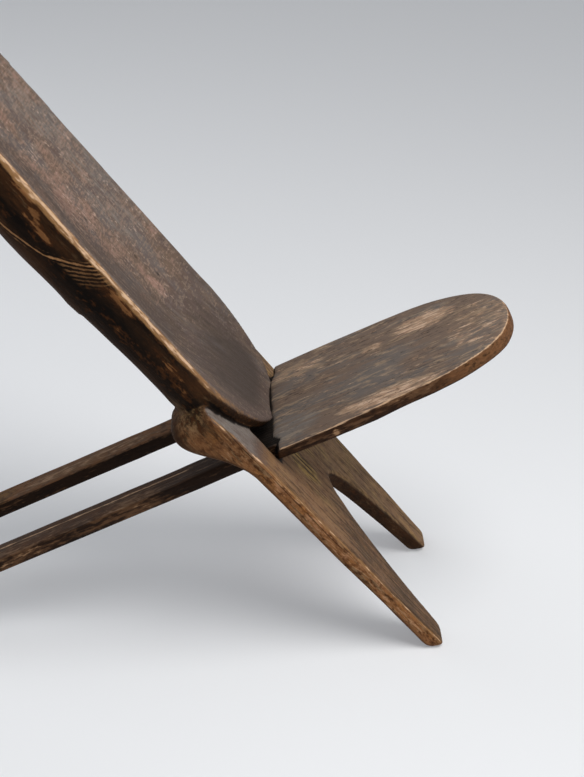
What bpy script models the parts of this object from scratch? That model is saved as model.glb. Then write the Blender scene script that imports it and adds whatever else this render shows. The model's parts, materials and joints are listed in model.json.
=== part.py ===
# Palaver chair: two carved planks that cross. The seat plank's tail passes through a slot in the
# back plank, and each plank ends in a pair of legs. Metres, +Z up, +X the way a sitter faces.
from math import cos, pi, radians, sin, sqrt

import bmesh
import bpy
from mathutils import Matrix, Vector

# The crossing: slopes of the planks, and the height where the seat plank's middle meets the back's front
SEAT_SLOPE = radians(25.6)
BACK_SLOPE = radians(50.7)
CROSS_HEIGHT = 0.287

# The backrest, measured along the plank from the crossing and out from the front legs' face
BACK_RISE = 0.630
BACK_WIDTH = 0.279
BACK_BULGE = 0.062
LIP_BULGE = 0.054
BULGE_START = 0.210
BULGE_FULL = 0.380
RIM_LOW = 0.016
RIM_HIGH = 0.030
RIM_CREST_IN = 0.0048
RIM_ROLL = 0.011
SCOOP_DEPTH = 0.032
SCOOP_START = 0.030
SCOOP_FULL = 0.235
LIP_SCOOP = 0.004
LIP_ROUND = 0.160
TOP_ROUND = 0.100
TOP_SCOOP = 0.003
TOP_NARROWING = 0.016
TOP_THINNING = 0.018
TOP_EDGE = 0.030
TOP_END_THICK = 0.022

# The shoulders and the front legs
SHOULDER_WIDTH = 0.306
SHOULDER_RISE = 0.142
SHOULDER_THICK = 0.066
SHOULDER_CORNER = 0.031
SHOULDER_FULL = 0.088
SHOULDER_HEEL = 0.034
SHOULDER_ROUND = 0.019
SHOULDER_SUNK = 0.007
SHOULDER_INSET = 0.0007
YOKE_RISE = 0.086
YOKE_HALF = 0.102
LEG_THICK = 0.0222
FRONT_FEET_WIDTH = 0.2675
FRONT_FEET_GAP = 0.187
FORK_DROP = 0.1225

# The seat plank, measured along it from the crossing
SEAT_LENGTH = 0.3405
SEAT_WIDTH = 0.2295
SEAT_REAR_WIDTH = 0.216
SEAT_THICK_REAR = 0.0165
SEAT_THICK_FRONT = 0.0208
SEAT_ROUND = 0.145
TAIL_WIDTH = 0.1805
TAIL_THICK = 0.0222
TAIL_UNDER_SEAT = 0.150
TAIL_STEP = 0.0005
TAIL_WEB = 0.072
WEB_ARCH = 0.018
REAR_LEG_WIDTH = 0.0365
REAR_TOE = 0.024

# Clearances: the tail in its slot, and the seat's shoulders before the cheeks
SLOT_SIDE_PLAY = 0.0050
SLOT_PLAY = 0.0008
SLOT_HEADROOM = 0.056
STOP_GAP = 0.0008

# Edge rounding, the fullness of the curved outlines, and how finely curves are cut
PANEL_ROUND = 0.005
SEAT_EDGE_ROUND = 0.0045
LEG_EDGE_ROUND = 0.004
SCOOP_POWER = 2.2
HULL_POWER = 3.6
LIP_POWER = 2.0
TOP_POWER = 3.2
SEAT_POWER = 2.2
CIRCLE_POWER = 2.0
ROUND_STEPS = 2
OUTLINE_STEPS = 18
CORNER_STEPS = 8
BACK_STATIONS = 36
HALF_LOOP_STEPS = 14
END_INSET = 0.002
OVERSHOOT = 0.06
SHARP_ANGLE = radians(38)

# Finish
BACK_COLOUR = (0.105, 0.062, 0.040)
SEAT_COLOUR = (0.120, 0.074, 0.050)
WOOD_ROUGHNESS = 0.62

# Each plank has its own axes at the crossing: along the plank, across it, and out of its front or top
CROSSING = SEAT_SLOPE + BACK_SLOPE
SLOT_HALF = TAIL_WIDTH / 2 + SLOT_SIDE_PLAY
FRONT_REACH = CROSS_HEIGHT / sin(BACK_SLOPE)
REAR_REACH = CROSS_HEIGHT / sin(SEAT_SLOPE)


def plank_frame(slope):
    return Matrix.Translation((0, 0, CROSS_HEIGHT)) @ Matrix.Rotation(slope, 4, "Y")


BACK_FRAME = plank_frame(BACK_SLOPE)
SEAT_FRAME = plank_frame(-SEAT_SLOPE)


def seat_to_back(along, out):
    # a place on the seat plank's side view, written in the back plank's axes
    return (cos(CROSSING) * along - sin(CROSSING) * out, sin(CROSSING) * along + cos(CROSSING) * out)


def ease(low, high, value):
    x = min(max((value - low) / (high - low), 0.0), 1.0)
    return x * x * (3 - 2 * x)


def round_off(x, power):
    # the falling half of a superellipse: 1 at x = 0, 0 at x = 1
    return (1 - min(max(x, 0.0), 1.0) ** power) ** (1 / power)


def steps(count):
    return [i / count for i in range(count + 1)]


def clear_scene():
    for obj in list(bpy.data.objects):
        bpy.data.objects.remove(obj, do_unlink=True)


def face_outward(bm):
    bm.normal_update()
    bmesh.ops.recalc_face_normals(bm, faces=bm.faces)
    if bm.calc_volume(signed=True) < 0:
        bmesh.ops.reverse_faces(bm, faces=bm.faces)


def slab(outline, low, high, rounding=0.0):
    # a board cut to an outline, with the edges of both faces rounded
    bm = bmesh.new()
    face = bm.faces.new([bm.verts.new((x, y, low)) for x, y in outline])
    raised = bmesh.ops.extrude_face_region(bm, geom=[face])
    moved = [v for v in raised["geom"] if isinstance(v, bmesh.types.BMVert)]
    bmesh.ops.translate(bm, verts=moved, vec=(0, 0, high - low))
    face_outward(bm)
    if rounding:
        rims = [e for e in bm.edges if abs(e.verts[0].co.z - e.verts[1].co.z) < END_INSET]
        bmesh.ops.bevel(bm, geom=rims, offset=rounding, segments=ROUND_STEPS, profile=0.5, affect="EDGES")
    return bm


def lay_across(bm):
    # turn a slab drawn in side view so that its thickness runs across the plank
    for v in bm.verts:
        v.co = Vector((v.co.x, v.co.z, v.co.y))
    face_outward(bm)
    return bm


def loft(loops):
    # closed loops of equal count, each bridged to the next, with the two ends capped
    bm = bmesh.new()
    rings = []
    for loop in loops:
        ring = [bm.verts.new(p) for p in loop]
        rings.append([bm.edges.new(pair) for pair in zip(ring, ring[1:] + ring[:1])])
    for first, second in zip(rings, rings[1:]):
        bmesh.ops.bridge_loops(bm, edges=first + second)
    for ring in (rings[0], rings[-1]):
        bmesh.ops.edgeloop_fill(bm, edges=ring)
    face_outward(bm)
    return bm


def trim(bm, point, normal):
    # cut away what lies on the normal's side of a plane, and close the cut
    geom = bm.verts[:] + bm.edges[:] + bm.faces[:]
    bmesh.ops.bisect_plane(bm, geom=geom, dist=1e-6, plane_co=point, plane_no=normal, clear_outer=True)
    bmesh.ops.holes_fill(bm, edges=[e for e in bm.edges if e.is_boundary], sides=0)
    face_outward(bm)


def trim_in_world(bm, frame, point, normal):
    inverse = frame.inverted()
    trim(bm, inverse @ Vector(point), inverse.to_3x3() @ Vector(normal))


def to_object(bm, name):
    mesh = bpy.data.meshes.new(name)
    bm.to_mesh(mesh)
    bm.free()
    obj = bpy.data.objects.new(name, mesh)
    bpy.context.scene.collection.objects.link(obj)
    return obj


def combine(base, other, operation):
    # an exact boolean, applied, with the second body used up
    cut = base.modifiers.new(operation.lower(), "BOOLEAN")
    cut.operation = operation
    cut.solver = "EXACT"
    cut.object = other
    evaluated = base.evaluated_get(bpy.context.evaluated_depsgraph_get())
    made = bpy.data.meshes.new_from_object(evaluated)
    base.modifiers.clear()
    spent = [base.data, other.data]
    base.data = made
    bpy.data.objects.remove(other, do_unlink=True)
    for mesh in spent:
        bpy.data.meshes.remove(mesh)
    made.name = base.name


def outer_half(along):
    # the outer edge of the cheeks and front legs: a straight taper from the shoulders to the feet
    share = (along + SHOULDER_RISE) / (FRONT_REACH + SHOULDER_RISE)
    return (SHOULDER_WIDTH + (FRONT_FEET_WIDTH - SHOULDER_WIDTH) * share) / 2


def panel_outline():
    # shoulders, tapering legs, and the arch of the fork between them, in plan
    end = FRONT_REACH + OVERSHOOT
    half = [(-YOKE_RISE, YOKE_HALF)]
    for x in steps(CORNER_STEPS):
        along = -SHOULDER_RISE + SHOULDER_CORNER * (1 - cos(x * pi / 2))
        half.append((along, outer_half(along) - SHOULDER_CORNER * (1 - sin(x * pi / 2))))
    start = -SHOULDER_RISE + SHOULDER_CORNER
    for x in steps(OUTLINE_STEPS)[1:]:
        along = start + (end - start) * x
        half.append((along, outer_half(along)))
    reach = FRONT_FEET_GAP / 2 * sqrt((end - FORK_DROP) / (FRONT_REACH - FORK_DROP))
    for x in steps(OUTLINE_STEPS)[:-1]:
        half.append((FORK_DROP + (end - FORK_DROP) * (1 - x) ** 2, reach * (1 - x)))
    return half + [(FORK_DROP, 0.0)] + [(x, -y) for x, y in reversed(half)]


def shoulder_section(along, side):
    # one cross-section of a cheek: flat beside the slot, and rounded at its outer rear corner
    swell = (1 - cos(pi * min(-along / SHOULDER_FULL, 1.0))) / 2
    heel = 1 - round_off((-along - SHOULDER_RISE + SHOULDER_HEEL) / SHOULDER_HEEL, CIRCLE_POWER)
    corner = 1 - round_off((-along - SHOULDER_RISE + SHOULDER_CORNER) / SHOULDER_CORNER, CIRCLE_POWER)
    shallow = LEG_THICK - SHOULDER_SUNK / 2
    depth = shallow + (SHOULDER_THICK - shallow) * swell - SHOULDER_HEEL * heel
    inner = TAIL_WIDTH / 2
    outer = outer_half(along) - SHOULDER_INSET - SHOULDER_CORNER * corner
    radius = SHOULDER_SUNK / 2 + (SHOULDER_ROUND - SHOULDER_SUNK / 2) * swell
    radius = min(radius, (depth - SHOULDER_SUNK) / 2, (outer - inner) / 2)
    points = [(along, side * inner, -SHOULDER_SUNK), (along, side * outer, -SHOULDER_SUNK)]
    for x in steps(CORNER_STEPS):
        across = outer - radius * (1 - cos(x * pi / 2))
        points.append((along, side * across, radius * (1 - sin(x * pi / 2)) - depth))
    return points + [(along, side * inner, -depth)]


def shoulder_block(side):
    # the swelling behind each cheek: full depth beside the slot, easing down to the leg's thickness
    end = SHOULDER_RISE - END_INSET
    return loft([shoulder_section(-end * sin(x * pi / 2), side) for x in steps(OUTLINE_STEPS)])


def slot_cutter():
    # a block along the tail, with the tail's play, and headroom above it beside the rounded lip
    reach = SHOULDER_THICK * 2
    low = -TAIL_THICK / 2 - SLOT_PLAY
    high = TAIL_THICK / 2 + SLOT_HEADROOM
    corners = [(-reach, low), (reach, low), (reach, high), (-reach, high)]
    return lay_across(slab([seat_to_back(*c) for c in corners], -SLOT_HALF, SLOT_HALF))


def back_half_width(rise):
    # the backrest in plan: a round lip, nearly straight rims, and a round-cornered top
    lip = round_off((LIP_ROUND - rise) / LIP_ROUND, LIP_POWER)
    top = round_off((rise - BACK_RISE + TOP_ROUND) / TOP_ROUND, TOP_POWER)
    straight = max((rise - LIP_ROUND) / (BACK_RISE - LIP_ROUND), 0.0)
    return (BACK_WIDTH / 2 - TOP_NARROWING * straight ** 2) * lip * top


def back_section(rise):
    # one cross-section of the backrest: a scooped front between rolled rims, and a full rounded back
    half = back_half_width(rise)
    crest = half * (1 - RIM_CREST_IN / (BACK_WIDTH / 2))
    top = max((rise - BACK_RISE + TOP_ROUND) / TOP_ROUND, 0.0)
    rim = RIM_LOW + (RIM_HIGH - RIM_LOW) * (rise / BACK_RISE) ** 2
    scoop = LIP_SCOOP + (SCOOP_DEPTH - LIP_SCOOP) * ease(SCOOP_START, SCOOP_FULL, rise)
    scoop += (TOP_SCOOP - scoop) * top ** 2
    bulge = LIP_BULGE + (BACK_BULGE - LIP_BULGE) * ease(BULGE_START, BULGE_FULL, rise)
    back = -bulge + TOP_THINNING * top ** 3
    side = rim - RIM_ROLL
    end = TOP_END_THICK / (rim - back)
    thinned = end + (1 - end) * round_off((rise - BACK_RISE + TOP_EDGE) / TOP_EDGE, CIRCLE_POWER)
    middle = (rim - scoop + back) / 2
    section = []
    for x in steps(HALF_LOOP_STEPS):
        across = sin((2 * x - 1) * pi / 2)
        section.append((crest * across, rim - scoop * (1 - abs(across) ** SCOOP_POWER)))
    for x in steps(HALF_LOOP_STEPS):
        across = abs(cos(pi * x)) ** (2 / HULL_POWER) * (1 if x < 0.5 else -1)
        section.append((half * across, side - (side - back) * sin(pi * x) ** (2 / HULL_POWER)))
    return [(-rise, across, middle + (out - middle) * thinned) for across, out in section]


def backrest():
    length = BACK_RISE - 2 * END_INSET
    bm = loft([back_section(END_INSET + length * (1 - cos(pi * x)) / 2) for x in steps(BACK_STATIONS)])
    along, out = seat_to_back(0.0, TAIL_THICK / 2 + SLOT_PLAY)
    down_along, down_out = seat_to_back(0.0, -1.0)
    trim(bm, (along, 0, out), (down_along, 0, down_out))
    return bm


def build_back_plank():
    panel = slab(panel_outline(), -LEG_THICK, 0.0, PANEL_ROUND)
    trim_in_world(panel, BACK_FRAME, (0, 0, 0), (0, 0, -1))
    plank = to_object(panel, "back_plank")
    for side in (1, -1):
        combine(plank, to_object(shoulder_block(side), "shoulder"), "UNION")
    combine(plank, to_object(slot_cutter(), "slot"), "DIFFERENCE")
    combine(plank, to_object(backrest(), "backrest"), "UNION")
    plank.matrix_world = BACK_FRAME
    return plank


def seat_outline():
    # nearly straight sides and a full round front, in plan, with its rear left long for trimming
    straight = SEAT_LENGTH - SEAT_ROUND
    half = []
    for x in steps(CORNER_STEPS)[:-1]:
        width = SEAT_REAR_WIDTH + (SEAT_WIDTH - SEAT_REAR_WIDTH) * sin(x * pi / 2)
        half.append(((straight + OVERSHOOT) * x - OVERSHOOT, width / 2))
    for x in steps(OUTLINE_STEPS)[:-1]:
        share = sin(x * pi / 2)
        half.append((straight + SEAT_ROUND * share, SEAT_WIDTH / 2 * round_off(share, SEAT_POWER)))
    return half + [(SEAT_LENGTH, 0.0)] + [(x, -y) for x, y in reversed(half)]


def seat_board():
    # the board thickens towards its front, and its rear is cut plumb, so that its lower edge stops just
    # short of the cheeks
    high = TAIL_THICK / 2
    low = high - SEAT_THICK_REAR
    bm = slab(seat_outline(), low, high, SEAT_EDGE_ROUND)
    for v in bm.verts:
        thicker = 1 + (SEAT_THICK_FRONT / SEAT_THICK_REAR - 1) * v.co.x / SEAT_LENGTH
        v.co.z = high - (high - v.co.z) * thicker
    stop = (STOP_GAP - cos(CROSSING) * low) / sin(CROSSING)
    trim_in_world(bm, SEAT_FRAME, SEAT_FRAME @ Vector((stop, 0, low)), (-1, 0, 0))
    return bm


def tail_outline():
    # a round-ended tongue under the seat, the web in the slot, and the rear legs, in plan
    end = -REAR_REACH - OVERSHOOT
    gap = TAIL_WIDTH / 2 - REAR_LEG_WIDTH
    middle = TAIL_UNDER_SEAT / 2
    half = []
    for x in steps(CORNER_STEPS):
        half.append((middle + middle * cos(x * pi / 2), TAIL_WIDTH / 2 * sin(x * pi / 2)))
    half += [(end, TAIL_WIDTH / 2), (end, gap)]
    for x in steps(CORNER_STEPS)[:-1]:
        half.append((-TAIL_WEB - WEB_ARCH * (1 - sin(x * pi / 2)), gap * cos(x * pi / 2)))
    return half + [(-TAIL_WEB, 0.0)] + [(x, -y) for x, y in reversed(half[1:])]


def seat_tail():
    # planed a little lower than the seat, with blunt feet cut flat to the floor
    bm = slab(tail_outline(), -TAIL_THICK / 2, TAIL_THICK / 2 - TAIL_STEP, LEG_EDGE_ROUND)
    trim_in_world(bm, SEAT_FRAME, (0, 0, 0), (0, 0, -1))
    heel = (CROSS_HEIGHT * cos(SEAT_SLOPE) - TAIL_THICK / 2) / sin(SEAT_SLOPE)
    trim_in_world(bm, SEAT_FRAME, (-heel - REAR_TOE, 0, 0), (-1, 0, 0))
    return bm


def build_seat_plank():
    plank = to_object(seat_board(), "seat_plank")
    combine(plank, to_object(seat_tail(), "tail"), "UNION")
    plank.matrix_world = SEAT_FRAME
    return plank


def finish(plank, name, colour):
    material = bpy.data.materials.new(name)
    material.use_nodes = True
    shader = material.node_tree.nodes["Principled BSDF"]
    shader.inputs["Base Color"].default_value = (*colour, 1.0)
    shader.inputs["Roughness"].default_value = WOOD_ROUGHNESS
    plank.data.materials.clear()
    plank.data.materials.append(material)
    plank.data.shade_smooth()
    plank.data.set_sharp_from_angle(angle=SHARP_ANGLE)


def centre_on_floor(planks):
    # bring the middle of the chair's outer box over the origin
    bpy.context.view_layer.update()
    places = [plank.matrix_world @ v.co for plank in planks for v in plank.data.vertices]
    middle = (min(p.x for p in places) + max(p.x for p in places)) / 2
    for plank in planks:
        plank.location.x -= middle
    bpy.context.view_layer.update()


clear_scene()
back_plank = build_back_plank()
seat_plank = build_seat_plank()
finish(back_plank, "back_wood", BACK_COLOUR)
finish(seat_plank, "seat_wood", SEAT_COLOUR)
centre_on_floor([back_plank, seat_plank])
print("crossing at", [round(c, 5) for c in back_plank.location])
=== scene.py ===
import itertools
import json
import math

import bpy
import numpy as np
from mathutils import Matrix, Vector


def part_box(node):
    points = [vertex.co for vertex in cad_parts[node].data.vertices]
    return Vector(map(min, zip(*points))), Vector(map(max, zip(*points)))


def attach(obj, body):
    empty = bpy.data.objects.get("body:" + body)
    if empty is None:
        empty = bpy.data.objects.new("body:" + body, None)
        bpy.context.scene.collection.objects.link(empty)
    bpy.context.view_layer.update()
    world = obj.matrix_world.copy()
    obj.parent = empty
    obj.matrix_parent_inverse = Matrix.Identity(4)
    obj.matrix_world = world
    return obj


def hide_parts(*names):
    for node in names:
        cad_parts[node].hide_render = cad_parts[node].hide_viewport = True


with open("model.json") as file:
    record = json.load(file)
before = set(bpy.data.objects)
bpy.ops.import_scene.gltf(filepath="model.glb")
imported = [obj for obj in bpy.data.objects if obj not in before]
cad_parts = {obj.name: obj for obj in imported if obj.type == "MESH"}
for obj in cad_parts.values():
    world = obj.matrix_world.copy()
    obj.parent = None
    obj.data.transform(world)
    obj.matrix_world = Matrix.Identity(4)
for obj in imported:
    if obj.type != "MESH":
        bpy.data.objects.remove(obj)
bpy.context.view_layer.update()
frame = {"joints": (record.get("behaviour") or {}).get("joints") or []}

# How the two planks cross. Each has its own axes at the crossing: along it, across it and out of its face
seatAxis = Vector(frame["joints"][0]["axis"])  # the seat plank slides along itself
chair = {
    "seatSlope": math.atan2(seatAxis.z, seatAxis.x),
    "backSlope": math.radians(50.7),
    "crossHeight": 0.287,
    "slotPlay": 0.0008,  # air above and below the tail in its slot
    "slotSidePlay": 0.005,
    "tailThick": 0.0222,
    "tailWidth": 0.1805,
}
chair["crossX"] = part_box("back_plank")[1].x - chair["crossHeight"] / math.tan(chair["backSlope"])
crossAngle = chair["seatSlope"] + chair["backSlope"]
slotHalf = chair["tailWidth"] / 2 + chair["slotSidePlay"]
slotEdge = chair["tailThick"] / 2 + chair["slotPlay"]  # from the tail's middle to the slot's floor or roof


def plankAxes(slope):
    # a turn about the sideways axis by the plank's slope, placed at the crossing
    place = Matrix.Translation((chair["crossX"], 0, chair["crossHeight"]))
    return np.array(place @ Matrix.Rotation(slope, 4, "Y"))


backAxes = plankAxes(chair["backSlope"])
seatAxes = plankAxes(-chair["seatSlope"])


def toRow(points, axes):
    # from a plank's own axes to the chair's: turned, then moved to the crossing
    return points @ axes[:3, :3].T + axes[:3, 3]


def blendStep(low, high, x):
    # a smooth step, 3u^2 - 2u^3: 0 at low, 1 at high, level beyond them. Low may be the larger
    u = np.clip((x - low) / (high - low), 0, 1)
    return u * u * (3 - 2 * u)


def roundOff(x, power=2.0):
    # the falling quarter of a superellipse: 1 at 0, 0 at 1
    return (1 - np.clip(x, 0, 1) ** power) ** (1 / power)


# large odd numbers that scatter a lattice cell's place into a random number
noiseMixers = np.array([374761393, 668265263, 2246822519], np.uint32)
noiseSeedMixer = 97531
noiseLastMixer = np.uint32(1274126177)
noiseHalfRange = (2 ** 32 - 1) / 2


def latticeNoise(points, spacing, seed):
    # random numbers on a lattice with this spacing in metres, blended smoothly between neighbours, -1 to 1
    q = points / np.asarray(spacing)
    base = np.floor(q).astype(np.int64)
    part = q - base
    part = part ** 3 * (part * (part * 6 - 15) + 10)
    total = np.zeros(len(points))
    for corner in itertools.product((0, 1), repeat=3):
        cell = (base + corner).astype(np.uint32)
        mixed = (cell * noiseMixers).sum(axis=1, dtype=np.uint32) + np.uint32(seed * noiseSeedMixer)
        mixed = (mixed ^ (mixed >> np.uint32(13))) * noiseLastMixer
        mixed ^= mixed >> np.uint32(16)
        share = np.prod(np.where(corner, part, 1 - part), axis=1)
        total += share * (mixed / noiseHalfRange - 1)
    return total


# Rings: points to a corner, a corner's largest share of a side, and the shrunk copies that close an end
ring = {"cornerPoints": 7, "mostRound": 0.48, "capShares": (0.75, 0.5, 0.25, 0.02)}


def roundedRing(outer, inner, front, rear, radii):
    # a rounded rectangle at every station: four quarter circles, joined by straight sides.
    # radii: outer front, inner front, inner rear, outer rear
    turn = np.linspace(0, math.pi / 2, ring["cornerPoints"])
    most = np.minimum(outer - inner, front - rear) * ring["mostRound"]
    across, out = [], []
    corners = [(outer, front, 1, 1), (inner, front, -1, 1), (inner, rear, -1, -1), (outer, rear, 1, -1)]
    for quarter, (y, n, ySign, nSign) in enumerate(corners):
        radius = np.minimum(radii[quarter], most)[:, None]
        angle = turn + quarter * math.pi / 2
        across.append(y[:, None] - ySign * radius + radius * np.cos(angle))
        out.append(n[:, None] - nSign * radius + radius * np.sin(angle))
    return np.concatenate(across, axis=1), np.concatenate(out, axis=1)


def closeEnd(across, out, middle):
    # smaller and smaller copies of the last ring round a middle point, so that the end face can bend
    shrink = np.array(ring["capShares"])[:, None]
    capAcross = middle[0] + shrink * (across[-1] - middle[0])
    capOut = middle[1] + shrink * (out[-1] - middle[1])
    return np.concatenate([across, capAcross]), np.concatenate([out, capOut])


def softLeast(a, b, soft):
    # the smaller of two, with the corner between them rounded over the soft distance
    return (a + b - np.sqrt((a - b) ** 2 + soft ** 2)) / 2


def fuseBodies(name, bodies, voxel):
    # each body is a stack of closed rings. Where bodies run into each other, a voxel remesh makes one skin
    verts, faces, start = [], [], 0
    for rings in bodies:
        count, around = rings.shape[:2]
        index = np.arange(count * around).reshape(count, around) + start
        beside = np.roll(index, -1, axis=1)
        quads = np.stack([index[:-1], beside[:-1], beside[1:], index[1:]], axis=-1).reshape(-1, 4)
        faces += quads.tolist() + [index[0].tolist()[::-1], index[-1].tolist()]
        verts.append(rings.reshape(-1, 3))
        start += count * around
    rough = bpy.data.meshes.new(name + "_rough")
    rough.from_pydata(np.concatenate(verts).tolist(), [], faces)
    body = bpy.data.objects.new(name, rough)
    bpy.context.scene.collection.objects.link(body)
    fuse = body.modifiers.new("fuse", "REMESH")
    fuse.mode = "VOXEL"
    fuse.voxel_size = voxel
    skin = bpy.data.meshes.new_from_object(body.evaluated_get(bpy.context.evaluated_depsgraph_get()))
    skin.name = name
    body.modifiers.clear()
    body.data = skin
    bpy.data.meshes.remove(rough)
    print(name, "fused:", len(skin.vertices), "points")
    return body


def readPoints(mesh, key="co"):
    # one row of three for each point: its place, or its normal
    values = np.zeros(len(mesh.vertices) * 3, np.float32)
    mesh.vertices.foreach_get(key, values)
    return values.reshape(-1, 3).astype(float)


def writePoints(mesh, points):
    mesh.vertices.foreach_set("co", points.astype(np.float32).ravel())
    mesh.update()


def meshEdges(mesh):
    # the two points of each edge
    ends = np.zeros(len(mesh.edges) * 2, np.int32)
    mesh.edges.foreach_get("vertices", ends)
    return ends.reshape(-1, 2)


def nearMean(values, ends):
    # the mean of each point's neighbours
    count = len(values)
    start, end = np.concatenate([ends, ends[:, ::-1]]).T
    near = np.bincount(start, minlength=count).clip(1)
    columns = values.reshape(count, -1).T
    sums = [np.bincount(start, weights=column[end], minlength=count) / near for column in columns]
    return np.stack(sums, axis=1).reshape(values.shape)


def easeSkin(mesh, rounds):
    # takes the voxels' steps out of the skin without shrinking it: each round eases, then pushes back
    ends = meshEdges(mesh)
    points = readPoints(mesh)
    ease, pushBack = 0.5, -0.52
    for step in [ease, pushBack] * rounds:
        points = points + step * (nearMean(points, ends) - points)
    writePoints(mesh, points)


def bulgeOf(mesh, voxel):
    # how far each point stands out from its neighbours, in voxels: above 0 on edges, below 0 in corners.
    # Eased once with the neighbours' own
    ends = meshEdges(mesh)
    points = readPoints(mesh)
    bulge = -np.sum((nearMean(points, ends) - points) * readPoints(mesh, "normal"), axis=1) / voxel
    return (bulge + nearMean(bulge, ends)) / 2


def storeFields(mesh, fields):
    # each field is one number, or one vector, at every point
    for name, values in fields.items():
        vector = values.ndim == 2
        field = mesh.attributes.new(name, "FLOAT_VECTOR" if vector else "FLOAT", "POINT")
        field.data.foreach_set("vector" if vector else "value", values.astype(np.float32).ravel())


# The backrest: a scooped front between rolled rims, a full rounded back, and a round lip over the slot
backrest = {
    "rise": 0.630, "width": 0.279, "bulge": 0.062, "lipBulge": 0.054, "bulgeOver": (0.210, 0.380),
    "rimLow": 0.016, "rimHigh": 0.030, "crestIn": 0.0048, "rimRoll": 0.011, "rimEasing": 5,
    "scoop": 0.032, "scoopOver": (0.030, 0.235), "scoopPower": 2.2, "lipScoop": 0.004, "hullPower": 0.55,
    "lipRound": 0.160, "lipIn": 0.009,  # the lip's end stands this far off the slot
    "topRound": 0.100, "topPower": 3.2, "topScoop": 0.003, "topNarrowing": 0.016, "topThinning": 0.018,
    "topEdge": 0.030, "topEndThick": 0.022, "endIn": 0.002,
    "rows": 220, "frontPoints": 150, "hullPoints": 200, "rollPoints": 9,
}


def towardsTop(rise):
    # 0 below the rounded top, 1 at its end
    return np.clip((rise - backrest["rise"] + backrest["topRound"]) / backrest["topRound"], 0, 1)


def backrestHalf(rise):
    # half the backrest's width: a slow taper, times half an ellipse at the lip and a superellipse at the top
    b = backrest
    straight = np.clip((rise - b["lipRound"]) / (b["rise"] - b["lipRound"]), 0, 1)
    half = b["width"] / 2 - b["topNarrowing"] * straight ** 2
    lip = roundOff((b["lipRound"] - rise) / (b["lipRound"] - b["lipIn"]))
    return half * lip * roundOff(towardsTop(rise), b["topPower"])


def backrestRings():
    # rise: height up the plank. Each section has a front, rim - scoop * (1 - |c|^scoopPower), and behind
    # it half a superellipse down to the back
    b = backrest
    share = (1 - np.cos(np.pi * np.linspace(0, 1, b["rows"]))[:, None]) / 2
    rise = b["lipIn"] + b["endIn"] + (b["rise"] - b["lipIn"] - 2 * b["endIn"]) * share
    top = towardsTop(rise)
    half = backrestHalf(rise)
    crest = half * (1 - 2 * b["crestIn"] / b["width"])
    rim = b["rimLow"] + (b["rimHigh"] - b["rimLow"]) * (rise / b["rise"]) ** 2
    scoop = b["lipScoop"] + (b["scoop"] - b["lipScoop"]) * blendStep(*b["scoopOver"], rise)
    scoop = scoop + (b["topScoop"] - scoop) * top ** 2
    bulge = b["lipBulge"] + (b["bulge"] - b["lipBulge"]) * blendStep(*b["bulgeOver"], rise)
    back = -bulge + b["topThinning"] * top ** 3
    side = rim - b["rimRoll"]
    c = np.linspace(-1, 1, b["frontPoints"])
    face = rim - scoop * (1 - np.abs(c) ** b["scoopPower"])
    angle = math.pi * (1 - np.cos(np.linspace(0, math.pi, b["hullPoints"]))) / 2
    hullAcross = half * np.abs(np.cos(angle)) ** b["hullPower"] * np.sign(np.cos(angle))
    hullOut = side - (side - back) * np.sin(angle) ** b["hullPower"]
    roll = np.linspace(0, 1, b["rollPoints"])[1:-1]  # from the crest out and down to the hull
    rollAcross = crest + (half - crest) * roll
    rollOut = rim + (side - rim) * roll
    across = np.concatenate([crest * c, rollAcross, hullAcross, -rollAcross[:, ::-1]], axis=1)
    out = np.concatenate([face, rollOut, hullOut, rollOut[:, ::-1]], axis=1)
    for _ in range(b["rimEasing"]):
        across = (np.roll(across, 1, axis=1) + 2 * across + np.roll(across, -1, axis=1)) / 4
        out = (np.roll(out, 1, axis=1) + 2 * out + np.roll(out, -1, axis=1)) / 4
    middle = (rim - scoop + back) / 2
    end = b["topEndThick"] / (rim - back)
    full = roundOff((rise - b["rise"] + b["topEdge"]) / b["topEdge"])
    out = middle + (out - middle) * (end + (1 - end) * full)
    along = -rise + 0 * out
    roof = (out * math.cos(crossAngle) - slotEdge) / math.sin(crossAngle) - b["lipIn"]
    along = np.minimum(along, roof)  # cut along the slot, clear of the tail
    return np.stack([along, across, out], axis=-1)


# One cheek, its half of the yoke under the slot, and one front leg
limb = {
    "shoulderWidth": 0.306, "shoulderRise": 0.132, "shoulderThick": 0.068, "corner": 0.031, "heel": 0.022,
    "full": 0.110, "knobRound": 0.020, "frontRound": 0.015,
    "frontLean": 0.006, "leanOver": (0.045, 0.125),  # the cheek's front leans back over these heights
    "slantIn": (-0.11, -0.03), "slantOut": (0.03, 0.10),  # between these the sections slant as the slot does
    "thick": 0.0222, "feetWidth": 0.2675, "feetGap": 0.187, "forkDrop": 0.1225, "edgeRound": 0.0055,
    "footRound": 0.012, "footPinch": 0.26, "toeCut": 0.0060, "toeSoft": 0.006,
    "overlap": 0.02, "overshoot": 0.05, "hair": 0.0004,
    "cheekRows": 80, "cheekCrowding": 1.4, "yokeRows": 40, "forkRows": 110,
}


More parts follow.
